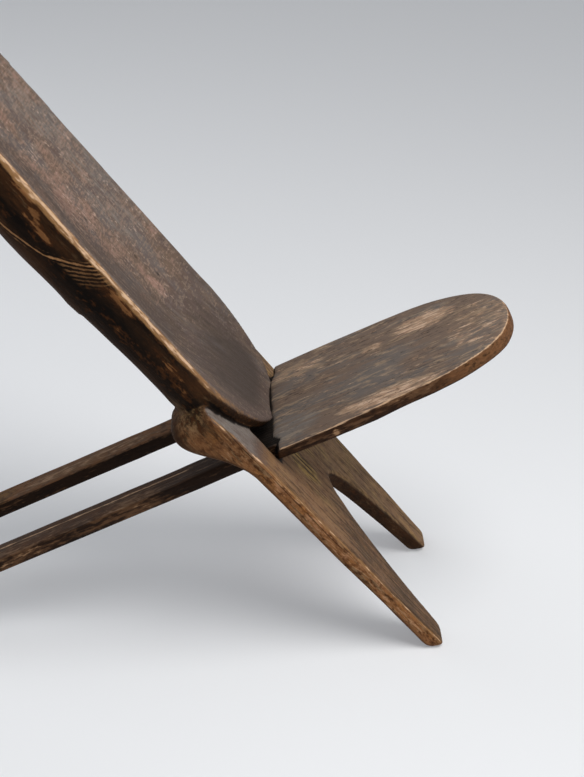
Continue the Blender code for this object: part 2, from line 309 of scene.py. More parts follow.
def limbRings(mirror):
    # rounded rectangles down the limb. Outer edge: straight from shoulder to foot. Inner edge: the slot's
    # side, then past the middle, then the fork's arch, a parabola. Depth eases from shoulder to leg
    m = limb
    foot = chair["crossHeight"] / math.sin(chair["backSlope"])
    floorOfSlot = slotEdge / math.sin(crossAngle)
    crowded = np.linspace(0, 1, m["cheekRows"]) ** m["cheekCrowding"]
    cheek = -m["shoulderRise"] + (m["shoulderRise"] + floorOfSlot) * crowded
    yoke = np.linspace(floorOfSlot + m["hair"], m["forkDrop"] - m["hair"], m["yokeRows"])
    fork = m["forkDrop"] + (foot + m["overshoot"] - m["forkDrop"]) * np.linspace(0, 1, m["forkRows"]) ** 2
    along = np.concatenate([cheek, yoke, fork])
    arch = m["feetGap"] / 2 * np.sqrt((fork - m["forkDrop"]) / (foot - m["forkDrop"]))
    inner = np.concatenate([slotHalf + 0 * cheek, -m["overlap"] + 0 * yoke, arch])
    share = (along + m["shoulderRise"]) / (foot + m["shoulderRise"])
    outer = (m["shoulderWidth"] + (m["feetWidth"] - m["shoulderWidth"]) * share) / 2
    outer -= m["corner"] * (1 - roundOff((-along - m["shoulderRise"] + m["corner"]) / m["corner"]))
    swell = (1 - np.cos(math.pi * np.clip(-along / m["full"], 0, 1))) / 2
    depth = m["thick"] + (m["shoulderThick"] - m["thick"]) * swell
    depth -= m["heel"] * (1 - roundOff((-along - m["shoulderRise"] + m["heel"]) / m["heel"]))
    brow = roundOff((-along - m["shoulderRise"] + m["frontRound"]) / m["frontRound"])
    front = -m["frontRound"] * (1 - brow) - m["frontLean"] * blendStep(*m["leanOver"], -along)
    plain = m["edgeRound"] + 0 * along
    knob = m["edgeRound"] + (m["knobRound"] - m["edgeRound"]) * swell
    across, out = roundedRing(outer, inner, front, -depth, [plain, plain, plain, knob])
    slant = blendStep(*m["slantIn"], along) * (1 - blendStep(*m["slantOut"], along))
    middle = ((outer[-1] + inner[-1]) / 2, -m["thick"] / 2)
    across, out = closeEnd(across, out, middle)
    spare = len(across) - len(along)
    along = np.append(along, np.full(spare, along[-1]))[:, None]
    along = along + out / math.tan(crossAngle) * np.append(slant, np.zeros(spare))[:, None]
    # the foot: flat on the floor at the heel, cut square and worn round at the toe
    for worn in (m["footPinch"], 0.0):
        floor = (chair["crossHeight"] + out * math.cos(chair["backSlope"])) / math.sin(chair["backSlope"])
        end = softLeast(floor, foot - m["toeCut"], m["toeSoft"])
        pinch = worn * (1 - roundOff((m["footRound"] - end + along) / m["footRound"]))
        across = across + pinch * (middle[0] - across)
        out = out + pinch * (middle[1] - out)
    return np.stack([np.minimum(along, end), mirror * across, out], axis=-1)


# The seat board: nearly straight sides and a full round front
board = {
    "length": 0.3405, "width": 0.2295, "rearWidth": 0.216, "thickRear": 0.0165, "thickFront": 0.0230,
    "round": 0.145, "nosePower": 2.2, "edgeRound": 0.0052, "stopGap": 0.0010, "overshoot": 0.06,
    "rightTrim": 0.115, "leftTrim": 0.04,  # shares cut off the sides towards the nose
    "trimOver": (0.04, 0.24), "trimEasing": 0.5, "trimEasesOver": (0.28, 0.34),
    "sideRows": 40, "noseRows": 90, "edgeRows": 15,
}


def boardRings():
    # the outline in plan is moved inwards over two quarter circles, one at each edge
    d = board
    straight = d["length"] - d["round"]
    x = np.linspace(0, 1, d["sideRows"])[:-1]
    sides = (straight + d["overshoot"]) * x - d["overshoot"]
    sideHalf = (d["rearWidth"] + (d["width"] - d["rearWidth"]) * np.sin(x * math.pi / 2)) / 2
    turn = np.sin(np.linspace(0, 1, d["noseRows"]) * math.pi / 2)[:-1]
    along = np.concatenate([sides, straight + d["round"] * turn])
    across = np.concatenate([sideHalf, d["width"] / 2 * roundOff(turn, d["nosePower"])])
    along = np.concatenate([along, [d["length"]], along[::-1]])
    across = np.concatenate([across, [0.0], -across[::-1]])
    trim = blendStep(*d["trimOver"], along) * (1 - d["trimEasing"] * blendStep(*d["trimEasesOver"], along))
    across = across * (1 - trim * np.where(across < 0, d["rightTrim"], d["leftTrim"]))
    dAlong = np.roll(along, -1) - np.roll(along, 1)
    dAcross = np.roll(across, -1) - np.roll(across, 1)
    size = np.hypot(dAlong, dAcross)
    high = chair["tailThick"] / 2
    low = high - d["thickRear"]
    angle = np.linspace(-1, 1, d["edgeRows"])[:, None] * math.pi / 2
    inset = d["edgeRound"] * (1 - np.cos(angle))
    lower = low + d["edgeRound"] * (1 + np.sin(angle))
    upper = high - d["edgeRound"] * (1 - np.sin(angle))
    out = np.where(angle < 0, lower, upper) + 0 * along
    along = along + inset * dAcross / size
    across = across - inset * dAlong / size
    stop = (d["stopGap"] - math.cos(crossAngle) * low) / math.sin(crossAngle)
    along = np.maximum(along, stop + (out - low) * math.tan(chair["seatSlope"]))  # the rear face is plumb
    thicker = (d["thickFront"] / d["thickRear"] - 1) * np.clip(along / d["length"], 0, 1)
    out = high - (high - out) * (1 + thicker)
    return np.stack([along, across, out], axis=-1)


# One half of the tail: the tongue under the seat, the web in the slot, and one rear leg
tail = {
    "underSeat": 0.150, "step": 0.0005, "web": 0.072, "arch": 0.018, "legWidth": 0.0385, "toe": 0.024,
    "legOut": 0.0015, "legOutOver": (-0.06, -0.12),  # the rear legs stand out this far past the tail's sides
    "edgeRound": 0.0045, "legRound": 0.0048, "legRoundOver": (0.10, 0.22),
    "footRound": 0.010, "footPinch": 0.20, "toeSoft": 0.004,
    "overlap": 0.015, "overshoot": 0.06, "hair": 0.0004, "tipShare": 0.05, "tipOverlap": 0.9,
    "rows": 40, "legRows": 120,
}


def tailRings(mirror):
    # rounded rectangles down the tail. The tongue's end is half an ellipse in plan, and so is the web's end
    a = tail
    high = chair["tailThick"] / 2 - a["step"]
    low = -chair["tailThick"] / 2
    slope = chair["seatSlope"]
    reach = chair["crossHeight"] / math.sin(slope)
    middle = a["underSeat"] / 2
    x = np.linspace(0, 1, a["rows"])
    tongue = middle + middle * np.cos(x * math.pi / 2)
    web = np.linspace(middle, -a["web"] + a["hair"], a["rows"])[1:]
    arch = -a["web"] - a["arch"] * (1 - np.cos(x * math.pi / 2))
    leg = np.linspace(arch[-1], -reach - a["overshoot"], a["legRows"])[1:]
    along = np.concatenate([tongue, web, arch, leg])
    gap = chair["tailWidth"] / 2 - a["legWidth"]
    outer = chair["tailWidth"] / 2 + a["legOut"] * blendStep(*a["legOutOver"], along)
    tip = slice(0, len(tongue))
    outer[tip] *= np.maximum(np.sin(x * math.pi / 2), a["tipShare"])
    pastMiddle = np.full(len(tongue) + len(web), -a["overlap"])
    inner = np.concatenate([pastMiddle, gap * np.sin(x * math.pi / 2), gap + 0 * leg])
    inner[tip] = np.maximum(inner[tip], -outer[tip] * a["tipOverlap"])
    radius = a["edgeRound"] + (a["legRound"] - a["edgeRound"]) * blendStep(*a["legRoundOver"], -along)
    across, out = roundedRing(outer, inner, high + 0 * along, low + 0 * along, [radius] * 4)
    middle = ((outer[-1] + inner[-1]) / 2, (high + low) / 2)
    across, out = closeEnd(across, out, middle)
    along = np.append(along, np.full(len(across) - len(along), along[-1]))[:, None]
    heel = (chair["crossHeight"] * math.cos(slope) + low) / math.sin(slope)
    # the foot: flat on the floor, cut off plumb at the toe, worn round
    for worn in (a["footPinch"], 0.0):
        floor = -(chair["crossHeight"] + out * math.cos(slope)) / math.sin(slope)
        toe = (-heel - a["toe"] + out * math.sin(slope)) / math.cos(slope)
        end = -softLeast(-floor, -toe, a["toeSoft"])
        pinch = worn * (1 - roundOff((a["footRound"] - along + end) / a["footRound"]))
        across = across + pinch * (middle[0] - across)
        out = out + pinch * (middle[1] - out)
    return np.stack([np.maximum(along, end), mirror * across, out], axis=-1)


coarse = 1.0
backVoxel = 0.0028 * coarse
seatVoxel = 0.0024 * coarse
backEasing = 4
seatEasing = 3
backPlank = fuseBodies("carved_back_plank", [backrestRings(), limbRings(1), limbRings(-1)], backVoxel)
seatPlank = fuseBodies("carved_seat_plank", [boardRings(), tailRings(1), tailRings(-1)], seatVoxel)
easeSkin(backPlank.data, backEasing)
easeSkin(seatPlank.data, seatEasing)

# Hand carving: slow waves, dishes left by the adze, and chips along the edges. Depths in metres
carving = {
    "wave": 0.0008, "waveSpan": 0.13, "ripple": 0.0004, "rippleSpan": 0.045, "fitShare": 0.30,
    "adzeBack": 0.0015, "adzeUnder": 0.0009, "adzeSide": 0.0006, "adzeFront": 0.0004, "adzeLeg": 0.0004,
    "adzeSpan": (0.060, 0.034, 0.034), "adzeMean": 0.35,
    "chip": 0.0004, "chipSpan": (0.030, 0.014, 0.014), "chipSharp": (0.06, 0.14), "chipNoise": (0.25, 0.7),
    "fitSoft": 0.025, "fitReach": (0.10, 0.14), "slotMargin": 0.004, "soleFree": (0.002, 0.03),
    "ledge": 0.0014, "ledgeRise": 0.307, "ledgeEdge": (-0.002, 0.002), "ledgeFade": 0.045,
    "rimFill": 0.0016, "rimFillOver": (0.84, 0.94), "rimFillFacing": 0.1,
    "ridgeAcross": 0.068, "ridgeFall": 0.03,  # a low ridge along each rear leg's top
    "seeds": {"wave": 3, "ripple": 5, "adze": 7, "chip": 11, "rag": 17},
}


def freeOfFit(points, axes, slotAcross):
    # 1 where a surface may move, 0 on the soles and round the slot, where the planks fit
    c = carving
    height = toRow(points, axes)[:, 2]
    inRow = toRow(points, axes) - seatAxes[:3, 3]
    overTail = inRow @ seatAxes[:3, 2]
    near = 1 - blendStep(slotEdge, slotEdge + c["fitSoft"], np.abs(overTail))
    near *= 1 - blendStep(slotAcross, slotAcross + c["fitSoft"], np.abs(points[:, 1]))
    near *= 1 - blendStep(*c["fitReach"], np.abs(inRow @ seatAxes[:3, 0]))
    return blendStep(*c["soleFree"], height) * (1 - near)


def carve(mesh, voxel, free, adze, sliding, extra):
    # moves each point along its normal: waves, minus |noise|, which is dishes between ridges, minus chips.
    # On what slides through the slot everything goes inwards
    c, seeds = carving, carving["seeds"]
    points = readPoints(mesh)
    bulge = bulgeOf(mesh, voxel)
    wave = c["wave"] * latticeNoise(points, c["waveSpan"], seeds["wave"])
    wave = wave + c["ripple"] * latticeNoise(points, c["rippleSpan"], seeds["ripple"])
    wave += sliding * (-c["fitShare"] * np.abs(wave) - wave)
    dishes = np.abs(latticeNoise(points, c["adzeSpan"], seeds["adze"])) - c["adzeMean"] * (1 - sliding)
    nicks = blendStep(*c["chipNoise"], latticeNoise(points, c["chipSpan"], seeds["chip"]))
    chips = c["chip"] * blendStep(*c["chipSharp"], bulge) * nicks
    shift = (wave - adze * dishes - chips + extra) * free
    writePoints(mesh, points + readPoints(mesh, "normal") * shift[:, None])


patchCore = 0.35  # a patch is full over this share of its reach


def patchField(points, patches):
    # soft ellipsoids: each patch is a centre, three half-lengths and a strength
    total = np.zeros(len(points))
    for centre, reach, strength in patches:
        away = np.sqrt(np.sum(((points - np.asarray(centre)) / np.asarray(reach)) ** 2, axis=1))
        total = np.maximum(total, strength * (1 - blendStep(patchCore, 1.0, away)))
    return total


def markAt(reach, x):
    # two numbers are a step. Three are a band: 1 from low to high, falling to 0 over the soft distance beyond
    if len(reach) == 2:
        return blendStep(*reach, x)
    low, high, soft = reach
    return blendStep(low - soft, low, x) * (1 - blendStep(high, high + soft, x))


edgeFull = 0.97  # an edge's line is full from here


def edgeLine(normals, outwards, low):
    # 1 along the middle of a rounded edge, where the normal points as much out of the face as outwards
    return blendStep(low, edgeFull, 2 * np.clip(normals[:, 2], 0, 1) * np.clip(outwards, 0, 1))


# What wear and dirt have left on the back plank, in its own axes. Patches: centre, half-lengths, strength
backWear = {
    "worn": [
        ((-0.372, 0.010, 0.0), (0.090, 0.070, 0.06), 0.75),
        ((-0.510, 0.100, 0.0), (0.075, 0.050, 0.06), 0.50),
        ((-0.470, -0.030, 0.0), (0.060, 0.050, 0.06), 0.60),
        ((-0.218, 0.052, 0.0), (0.034, 0.016, 0.06), 1.00),
        ((-0.418, -0.138, -0.0035), (0.026, 0.030, 0.0068), 1.3),
        ((-0.432, -0.138, -0.001), (0.014, 0.030, 0.0065), 1.3),
        ((-0.4425, -0.138, 0.0065), (0.014, 0.030, 0.0070), 1.2),
        ((-0.444, -0.138, -0.003), (0.014, 0.030, 0.0055), 0.9),
        ((-0.470, -0.138, 0.014), (0.038, 0.030, 0.008), 0.8),
        ((-0.250, -0.138, -0.020), (0.050, 0.030, 0.008), 0.4),
        ((-0.298, -0.138, 0.008), (0.040, 0.030, 0.009), 0.85),
        ((-0.180, -0.130, -0.005), (0.060, 0.030, 0.016), 0.6),
    ],
    "moss": [
        ((-0.132, -0.140, -0.030), (0.044, 0.045, 0.034), 0.75),
        ((-0.132, 0.140, -0.030), (0.044, 0.045, 0.034), 0.75),
        ((0.066, -0.046, 0.0), (0.065, 0.040, 0.030), 1.0),
        ((0.110, -0.085, 0.0), (0.060, 0.030, 0.030), 0.7),
    ],
    "knots": [
        ((-0.268, 0.062, -0.004), (0.0065, 0.0050, 0.02), 0.55),
        ((-0.227, 0.074, 0.000), (0.0080, 0.0048, 0.02), 0.60),
        ((-0.360, 0.028, -0.008), (0.0110, 0.0045, 0.02), 0.45),
        ((-0.345, 0.050, -0.008), (0.0065, 0.0045, 0.02), 0.45),
    ],
    "scoreCentre": (-0.4601, 0.0, 0.1101), "scoreRadius": 0.1436, "scorePitch": 0.0050, "scoreWobble": 0.007,
    "crackOut": -0.0046,
}

# Where its marks start and end, as steps and bands for markAt, in metres or in parts of a normal
backMarks = {
    # which way a face looks
    "front": (0.35, 0.65), "behind": (0.05, 0.5), "under": (0.45, 0.80), "inwards": (0.3, 0.7),
    "outwards": (0.1, 0.4), "nearSide": (0.25, 0.5), "facesUp": (0.25, 0.55), "dished": (0.1, 0.6),
    "smoothed": (0.30, 0.62), "ledgeUnder": (-0.02, 0.3),
    # how sharp an edge is, how hollow a corner
    "sharp": (0.02, 0.05), "hollow": (0.03, 0.12),
    # heights up the plank
    "cheek": (0.01, 0.05), "cheekFace": (0.0, 0.05), "cheekTop": (0.095, limb["shoulderRise"], 0.006),
    "cheekDark": (0.085, 0.130), "lipFootShadow": (0.010, 0.030), "lipEnd": (0.060, 0.022), "lipDark": (0.24, 0.06),
    "lipBand": (0.09, 0.15, 0.12), "gapShadowRiseAtLip": (0.03, 0.12, 0.012), "greasedRise": (0.20, 0.46, 0.12),
    "edgeLow": (0.0, 0.06), "edgeHigh": (0.10, 0.22), "pale": (0.12, 0.32), "sootThins": (0.33, 0.42),
    "nearStripRise": (0.20, 0.38, 0.16), "farStripRise": (0.30, 0.63, 0.10),
    # places along the plank, down from the crossing
    "nearLeg": (0.02, 0.20), "longScore": (-0.455, -0.352, 0.03), "hatch": (-0.378, -0.322, 0.012),
    "crack": (-0.08, 0.14, 0.03),
    # places across it, and off the backrest's edge
    "restEdge": (0.002, -0.001), "gapShadowAtLip": (-0.003, 0.003, 0.002), "lipSides": (0.40, 0.85),
    "greased": (-0.055, -0.005, 0.055), "nearStrip": (-0.125, -0.100, 0.035),
    "farStrip": (0.085, 0.140, 0.040), "nearSideFrom": -0.08, "crackFrom": -0.10,
    "slotShadeBeside": 0.006, "slotShadeReach": 0.08, "leastHalf": 0.01,
    # places out of its face, off the tail, and off the score's circle
    "cheekTopOut": (-0.004, -0.012), "lipBandOut": (-0.045, 0.0), "gapShadowOutAtLip": (-0.012, 0.001, 0.004),
    "hatchOut": (-0.010, 0.020, 0.006), "underRim": (-0.016, 0.012), "rimClimb": 0.016,
    "slotShadeOff": (0.002, 0.010), "longScoreOff": (-0.0020, 0.0020, 0.0015),
    "hatchOff": (0.0030, 0.0265, 0.003), "hatchThins": (0.008, 0.024),
}
# How strong they are
backTones = {
    # the soot taken off behind and underneath on the next line is painted bounce light from the floor
    "soot": 0.98, "sootLip": 0.12, "sootRim": 0.20, "sootHigh": 0.14, "bounceLightBehind": 0.20, "sootUnder": 0.16,
    "lipSides": 0.62, "lipEnd": 0.75, "greased": 0.60, "legInside": 0.60, "legBehind": 0.36,
    "cheekBehind": 0.20, "nearLeg": 0.55, "cheek": 0.46, "cheekDark": 0.14,
    "pale": 0.10, "paleHigh": 0.40, "legFace": 0.12, "cheekFace": 0.84,
    "edgeLow": 0.62, "edgeHigh": 0.38, "edgeFrom": 0.25, "legEdge": 0.86, "legEdgeFrom": 0.72,
    "warmInside": 0.6, "warmBehind": 0.4, "warmCheek": 0.1, "warmFront": 0.3, "warmLip": 0.16,
    "warmRim": 0.25, "mossFront": 0.60, "mossFar": 0.15, "bloomCheek": 0.8, "bloomStrip": 0.6,
    # the first two here darken hollow corners and the lip's gap: painted shade
    "hollowShade": 0.8, "gapShadowAtLip": 0.9, "hatch": 0.55, "hatchThins": 0.5,
}


def carveBack():
    # dishes, deepest behind, a small ledge across the underside, and more wood on the front's rims.
    # Gives back each point's height up the plank and how far it belongs to the backrest
    mesh, c, m = backPlank.data, carving, backMarks
    points, normals = readPoints(mesh), readPoints(mesh, "normal")
    rise = -points[:, 0]
    beside = np.abs(points[:, 1])
    half = backrestHalf(rise)
    onRest = markAt(m["restEdge"], beside - half) * (rise > 0)
    cheekTop = markAt(m["cheekTop"], rise) * (beside > slotHalf)
    onRest *= 1 - cheekTop * markAt(m["facesUp"], -normals[:, 0]) * markAt(m["cheekTopOut"], points[:, 2])
    adze = c["adzeSide"] + (c["adzeBack"] - c["adzeSide"]) * markAt(m["dished"], -normals[:, 2]) * onRest
    adze += (c["adzeFront"] - adze) * markAt(m["smoothed"], normals[:, 2])
    beyond = rise - c["ledgeRise"]
    ledge = c["ledge"] * blendStep(*c["ledgeEdge"], beyond) * (1 - blendStep(0, c["ledgeFade"], beyond))
    extra = ledge * onRest * markAt(m["ledgeUnder"], -normals[:, 2])
    onRim = onRest * blendStep(*c["rimFillOver"], beside / half) * (normals[:, 2] > c["rimFillFacing"])
    extra += c["rimFill"] * onRim
    carve(mesh, backVoxel, freeOfFit(points, backAxes, slotHalf + c["slotMargin"]), adze, 0, extra)
    return rise, onRest


def paintBack(rise, onRest):
    # fields from 0 to about 1 that the wood's coats read: each is a product of steps, bands and patches
    mesh, wear, m, t = backPlank.data, backWear, backMarks, backTones
    points, normals = readPoints(mesh), readPoints(mesh, "normal")
    along, across, out = points.T
    beside = np.abs(across)
    half = backrestHalf(rise)
    bulge = bulgeOf(mesh, backVoxel)
    front = markAt(m["front"], normals[:, 2])
    behind = markAt(m["behind"], -normals[:, 2])
    outwards = normals[:, 1] * np.sign(across)
    offRest = 1 - onRest
    onFront = onRest * front
    inwards = offRest * markAt(m["inwards"], -outwards)
    cheek = offRest * markAt(m["cheek"], rise)

    # the slot, the lip and the rims, with painted shade inside the slot and painted shadow on the lip's foot
    # and along its edge next to the seat
    # painted shade inside the slot, round the tail
    overTail = np.abs((toRow(points, backAxes) - seatAxes[:3, 3]) @ seatAxes[:3, 2])
    slotShade = (1 - markAt(m["slotShadeOff"], overTail - slotEdge)) * (beside < slotHalf + m["slotShadeBeside"])
    slotShade *= np.abs(along) < m["slotShadeReach"]
    lipBand = onRest * markAt(m["lipBand"], rise) * markAt(m["lipBandOut"], out)
    # painted shadow on the lip's foot, and along its edge next to the seat
    lipFootShadow = onRest * (1 - markAt(m["lipFootShadow"], rise)) * (1 - front)
    gapShadowAtLip = markAt(m["gapShadowAtLip"], beside - half) * markAt(m["gapShadowOutAtLip"], out)
    gapShadowAtLip *= t["gapShadowAtLip"] * markAt(m["gapShadowRiseAtLip"], rise)
    underRim = onRest * (1 - front) * markAt(m["underRim"], out - m["rimClimb"] * rise / backrest["rise"])
    fromFoot = t["edgeLow"] * markAt(m["edgeLow"], rise) + t["edgeHigh"] * markAt(m["edgeHigh"], rise)
    rim = onRest * fromFoot * edgeLine(normals, outwards, t["edgeFrom"])
    rim += t["legEdge"] * offRest * edgeLine(normals, outwards, t["legEdgeFrom"]) * markAt(m["sharp"], bulge)

    # scores on the near side: one long arc, and a hatch of shorter ones beside it
    nearSide = markAt(m["nearSide"], -normals[:, 1]) * onRest * (across < m["nearSideFrom"])
    radius = np.hypot(along - wear["scoreCentre"][0], out - wear["scoreCentre"][2]) - wear["scoreRadius"]
    longScore = markAt(m["longScore"], along) * markAt(m["longScoreOff"], radius)
    hatch = markAt(m["hatch"], along) * markAt(m["hatchOff"], radius) * markAt(m["hatchOut"], out)
    hatch *= 1 - t["hatchThins"] * markAt(m["hatchThins"], radius)

    # smoke and grease: full on the sides, dark on the lip and where a back has leant. Lighter behind and
    # underneath, which is painted bounce light from the floor
    soot = t["soot"] - t["sootLip"] * lipBand - t["sootRim"] * underRim
    soot = onRest * (1 - front) * (soot - t["sootHigh"] * markAt(m["sootThins"], rise))
    # painted bounce light: the soot thinned on faces that look back or down
    soot -= onRest * (t["bounceLightBehind"] * behind + t["sootUnder"] * markAt(m["under"], -normals[:, 2]))
    lipDark = markAt(m["lipDark"], rise)
    lipDark *= 1 - t["lipSides"] * markAt(m["lipSides"], beside / half.clip(m["leastHalf"]))
    lipDark *= 1 - t["lipEnd"] * markAt(m["lipEnd"], rise)
    greased = t["greased"] * markAt(m["greased"], across) * markAt(m["greasedRise"], rise)
    soot += onFront * np.maximum(lipDark, greased)
    nearLeg = front * (across < 0) * markAt(m["nearLeg"], along)
    rear = (t["legBehind"] - t["cheekBehind"] * cheek) * behind
    soot += offRest * np.max([t["legInside"] * inwards, rear, t["nearLeg"] * nearLeg], axis=0)
    cheekSoot = t["cheek"] + t["cheekDark"] * markAt(m["cheekDark"], rise)
    soot = np.maximum(soot, cheek * cheekSoot * (1 - front))

    # bare wood, damp, dust, and painted shade in hollow corners
    warmth = 1 - t["warmInside"] * inwards - t["warmBehind"] * behind - t["warmCheek"] * cheek
    warmth = offRest * (warmth - t["warmFront"] * front) + t["warmLip"] * lipBand + t["warmRim"] * underRim
    damp = (t["mossFront"] + t["mossFar"] * (across > 0)) * offRest * front * (1 - cheek)
    nearStrip = onFront * markAt(m["nearStrip"], across) * markAt(m["nearStripRise"], rise)
    farStrip = onFront * markAt(m["farStrip"], across) * markAt(m["farStripRise"], rise)
    dusty = np.maximum(t["bloomCheek"] * cheek * front, t["bloomStrip"] * np.maximum(nearStrip, farStrip))
    pale = onFront * (t["pale"] + t["paleHigh"] * markAt(m["pale"], rise))
    # painted shade: darker in hollow corners
    corners = t["hollowShade"] * markAt(m["hollow"], -bulge)
    face = onRest + offRest * (t["legFace"] + t["cheekFace"] * markAt(m["cheekFace"], rise))
    cracked = offRest * markAt(m["crack"], along) * (across < m["crackFrom"])
    storeFields(mesh, {
        "plank": points,
        "face": front * face,
        "soot": soot,
        "warmth": warmth,
        "moss": np.maximum(patchField(points, wear["moss"]), damp),
        "bloom": dusty,
        "worn": np.maximum(patchField(points, wear["worn"]), pale),
        "edge": rim,
        # dark knots, and painted shade in hollows, the slot and the lip's gap
        "grimeAndShade": np.max([corners, slotShade, lipFootShadow, gapShadowAtLip, patchField(points, wear["knots"])], axis=0),
        "scored": nearSide * np.maximum(longScore, t["hatch"] * hatch),
        "cracked": cracked * markAt(m["outwards"], outwards),
    })


# What wear and dirt have left on the seat plank
seatWear = {
    "worn": [
        ((0.160, -0.090, 0.011), (0.110, 0.024, 0.03), 0.95),
        ((0.228, 0.058, 0.011), (0.070, 0.030, 0.03), 0.95),
        ((0.045, 0.070, 0.011), (0.060, 0.030, 0.03), 0.70),
        ((0.300, -0.010, 0.011), (0.080, 0.100, 0.014), 0.55),
        ((0.154, 0.044, 0.011), (0.026, 0.012, 0.03), 0.90),
        ((0.0875, -0.112, 0.002), (0.008, 0.012, 0.008), 0.9),
        ((0.216, -0.106, 0.004), (0.016, 0.012, 0.009), 0.8),
        ((-0.210, -0.085, 0.0), (0.120, 0.020, 0.020), 0.55),
        ((-0.380, -0.085, 0.0), (0.120, 0.020, 0.020), 0.55),
        ((-0.280, 0.070, 0.011), (0.200, 0.025, 0.010), 0.75),
    ],
    "bloom": [
        ((0.030, -0.070, 0.011), (0.070, 0.050, 0.03), 0.8),
        ((0.150, -0.030, 0.011), (0.090, 0.040, 0.03), 0.5),
        ((0.260, -0.020, 0.011), (0.050, 0.030, 0.03), 0.5),
    ],
    "gold": [
        ((0.290, -0.060, 0.0), (0.075, 0.080, 0.030), 0.55),
        ((-0.420, 0.072, 0.0), (0.070, 0.040, 0.030), 0.9),
    ],
    "knots": [
        ((0.150, 0.040, 0.011), (0.008, 0.003, 0.02), 0.8),
    ],
}

# The board's ragged rear edge: how far it is set forwards, one bite, and the tongue that reaches back
# between the cheeks. Behind it the tail's top is sunk, and painted black as the shadow in the gap under the
# lip
rearEdge = {
    "forwards": 0.0012, "bite": 0.0040, "biteAcross": -0.086, "biteHalf": 0.007, "rag": 0.0016,
    "ragSpan": 0.028, "tongue": 0.0052, "tongueAcross": (-0.068, 0.068, 0.022), "sink": 0.0018,
}
# Where the seat plank's marks start and end, as steps for markAt
seatMarks = {
    # which way a face looks, and how sharp or hollow it is
    "smoothed": (0.45, 0.75), "top": (0.55, 0.85), "under": (0.3, 0.7), "rearFaceShadow": (0.3, 0.7),
    "sharp": (0.02, 0.05), "hollow": (0.03, 0.12),
    # places along the plank, towards the nose
    "tailwards": (0.02, -0.03), "nose": (0.17, 0.28), "crown": (-0.08, -0.14), "ridge": (-0.09, -0.12),
    "legTop": (-0.06, -0.13), "seatGapShadowStarts": (-0.045, -0.008),
    # distances from the rear edge and from the ridge, and levels as shares of the tail's top
    "seatGapShadow": (0.0006, -0.0012), "behind": (-0.006, -0.026), "offRidge": (0.0005, 0.0045),
    "seatGapShadowLevel": (0.5, 0.9),
}
# How strong they are
seatTones = {
    "soot": 0.64, "sootNose": 0.24, "sootUnder": 0.3, "sootTail": 0.90, "legTop": 0.34, "farLegTop": 0.14,
    "warm": 0.40, "warmNose": 0.28, "warmTail": 0.36, "warmFarLeg": 0.44, "tailFace": 0.80,
    # the last two here darken hollow corners and the gap behind the board: painted shade
    "farTailFace": 0.05, "worn": 0.25, "edgeFrom": 0.76, "ridge": 0.88, "hollowShade": 0.8, "seatGapShadow": 0.85,
}


def carveSeat():
    # dishes, deepest under the board, crowned rear legs, and the sunk strip behind the rear edge.
    # Gives back how far each point faces down, how much painted shadow it takes, and where the rear edge lies
    # there
    mesh, c, m, e = seatPlank.data, carving, seatMarks, rearEdge
    points, normals = readPoints(mesh), readPoints(mesh, "normal")
    top = markAt(m["smoothed"], normals[:, 2])
    under = markAt(m["under"], -normals[:, 2])
    sliding = markAt(m["tailwards"], points[:, 0])  # the tail and the rear legs
    adze = c["adzeSide"] + (c["adzeUnder"] - c["adzeSide"]) * under * (1 - sliding)
    adze += (c["adzeFront"] - adze) * top * (1 - sliding) + (c["adzeLeg"] - adze) * sliding
    fromRidge = np.abs(np.abs(points[:, 1]) - c["ridgeAcross"])
    crown = -c["ridgeFall"] * fromRidge * top * markAt(m["crown"], points[:, 0])
    carve(mesh, seatVoxel, freeOfFit(points, seatAxes, slotHalf), adze, sliding, crown)

    points = readPoints(mesh)
    along, across, out = points.T
    edge = board["stopGap"] + board["thickRear"] * math.tan(chair["seatSlope"]) + e["forwards"]
    edge = edge + e["bite"] * np.exp(-((across - e["biteAcross"]) / e["biteHalf"]) ** 2)
    edge += e["rag"] * np.abs(latticeNoise(points * (0, 1, 0), e["ragSpan"], c["seeds"]["rag"]))
    edge -= e["tongue"] * markAt(e["tongueAcross"], across)
    # painted shadow: black in the gap behind the board's rear edge
    seatGapShadow = markAt(m["seatGapShadow"], along - edge) * markAt(m["seatGapShadowStarts"], along)
    seatGapShadow *= markAt(m["seatGapShadowLevel"], out / (chair["tailThick"] / 2))
    points[:, 2] -= e["sink"] * seatGapShadow
    writePoints(mesh, points)
    return under, seatGapShadow, edge


